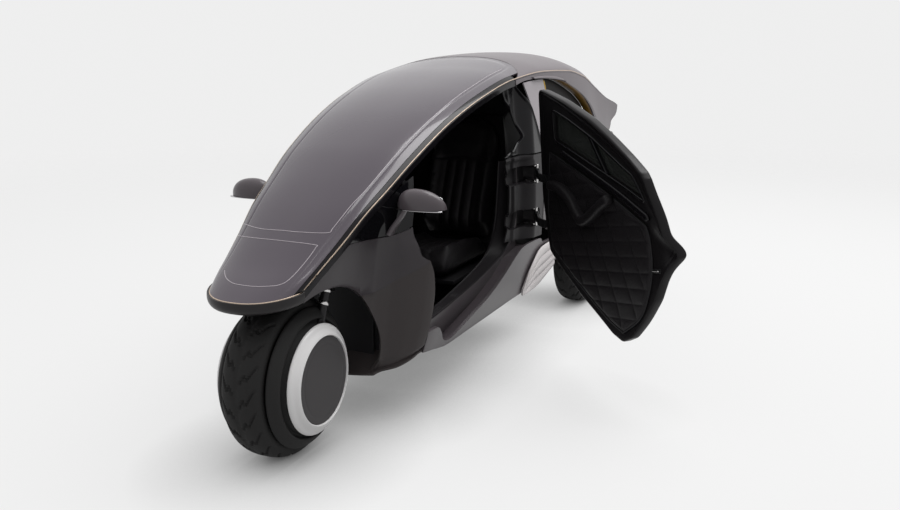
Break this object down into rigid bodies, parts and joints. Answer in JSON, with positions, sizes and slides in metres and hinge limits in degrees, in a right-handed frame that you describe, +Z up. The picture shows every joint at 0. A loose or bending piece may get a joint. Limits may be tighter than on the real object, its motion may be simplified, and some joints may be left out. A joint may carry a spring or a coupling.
{
  "type": "enclosed three wheeled car",
  "caption": "Narrow enclosed three wheeled car with one steered front wheel, an arched glossy screen and rear hinged side doors.",
  "frame": {"origin": "floor level under the middle of the whole car's footprint, with the left door standing open", "axes": "+X forward along the car, +Y to the car's left, +Z up"},
  "size_m": [3.7099, 1.8483, 1.486],
  "materials": {
    "screen_gloss": "gloss",
    "roof_satin": "satin",
    "body_dark": "satin",
    "body_grey": "satin",
    "tinted_glass": "gloss",
    "black_trim": "matte",
    "sill_grey": "satin",
    "pale_fairing": "satin",
    "black_leather": "satin",
    "chassis_black": "satin",
    "fork_metal": "satin",
    "pale_cover": "satin",
    "dark_cover": "matte",
    "tyre": "matte",
    "rim_black": "satin",
    "mirror_glass": "mirror",
    "lamp_red": "gloss"
  },
  "bodies": {
    "body": {"windscreen": "screen_gloss", "roof_tail": "roof_satin", "arch_rails": "body_dark", "flanks": "body_dark", "quarter_windows": "tinted_glass", "b_posts": "black_trim", "cabin_quarters": "body_grey", "rear_quarters": "body_dark", "tail_sides": "roof_satin", "skirts": "body_grey", "ribbed_fairings": "pale_fairing", "nose_band": "body_dark", "steering_head": "chassis_black", "front_bulkhead": "black_trim", "rear_axle": "chassis_black", "motor_block": "chassis_black", "floor_pan": "black_trim", "battery_block": "chassis_black", "sills": "sill_grey", "firewall": "black_trim", "rear_bulkhead": "black_trim", "rear_deck": "black_trim", "rear_fascia": "body_dark", "tail_lamp": "lamp_red", "seat_frame": "black_trim", "seat_cushion": "black_leather", "seat_back": "black_leather", "dashboard": "black_trim", "mirrors": "roof_satin", "mirror_glasses": "mirror_glass"},
    "fork": {"fork": "fork_metal", "front_axle": "fork_metal", "cover_rings": "pale_cover", "cover_discs": "dark_cover"},
    "front_wheel": {"front_tyre": "tyre", "front_rim": "rim_black"},
    "rear_wheel_left": {"rear_tyre_left": "tyre", "rear_rim_left": "rim_black"},
    "rear_wheel_right": {"rear_tyre_right": "tyre", "rear_rim_right": "rim_black"},
    "door_left": {"door_shell_left": "body_dark", "door_window_left": "tinted_glass", "door_trim_left": "black_leather"},
    "door_right": {"door_shell_right": "body_dark", "door_window_right": "tinted_glass", "door_trim_right": "black_leather"},
    "yoke": {"steering_yoke": "black_trim"}
  },
  "joints": [
    {"name": "steering", "type": "hinge", "parent": "body", "child": "fork", "pos_m": [1.543, -0.38266, 0.312], "axis": [-0.3907, 0, 0.9205], "range_deg": [-30, 30]},
    {"name": "front_wheel_spin", "type": "hinge", "parent": "fork", "child": "front_wheel", "pos_m": [1.543, -0.38266, 0.312], "axis": [0, 1, 0], "continuous": true},
    {"name": "rear_left_spin", "type": "hinge", "parent": "body", "child": "rear_wheel_left", "pos_m": [-1.013, 0.06734, 0.312], "axis": [0, 1, 0], "continuous": true},
    {"name": "rear_right_spin", "type": "hinge", "parent": "body", "child": "rear_wheel_right", "pos_m": [-1.013, -0.83266, 0.312], "axis": [0, 1, 0], "continuous": true},
    {"name": "left_door_swing", "type": "hinge", "parent": "body", "child": "door_left", "pos_m": [-0.166, 0.05733, 0.884], "axis": [0, 0, 1], "range_deg": [-45.6, 16.4]},
    {"name": "right_door_swing", "type": "hinge", "parent": "body", "child": "door_right", "pos_m": [-0.166, -0.82266, 0.884], "axis": [0, 0, -1], "range_deg": [0, 62]},
    {"name": "yoke_turn", "type": "hinge", "parent": "body", "child": "yoke", "pos_m": [0.93571, -0.38266, 0.80615], "axis": [-0.8829, 0, 0.4695], "range_deg": [-60, 60]}
  ],
  "couplings": [
    {"joint": "yoke_turn", "follows": "steering", "ratio": 2}
  ]
}
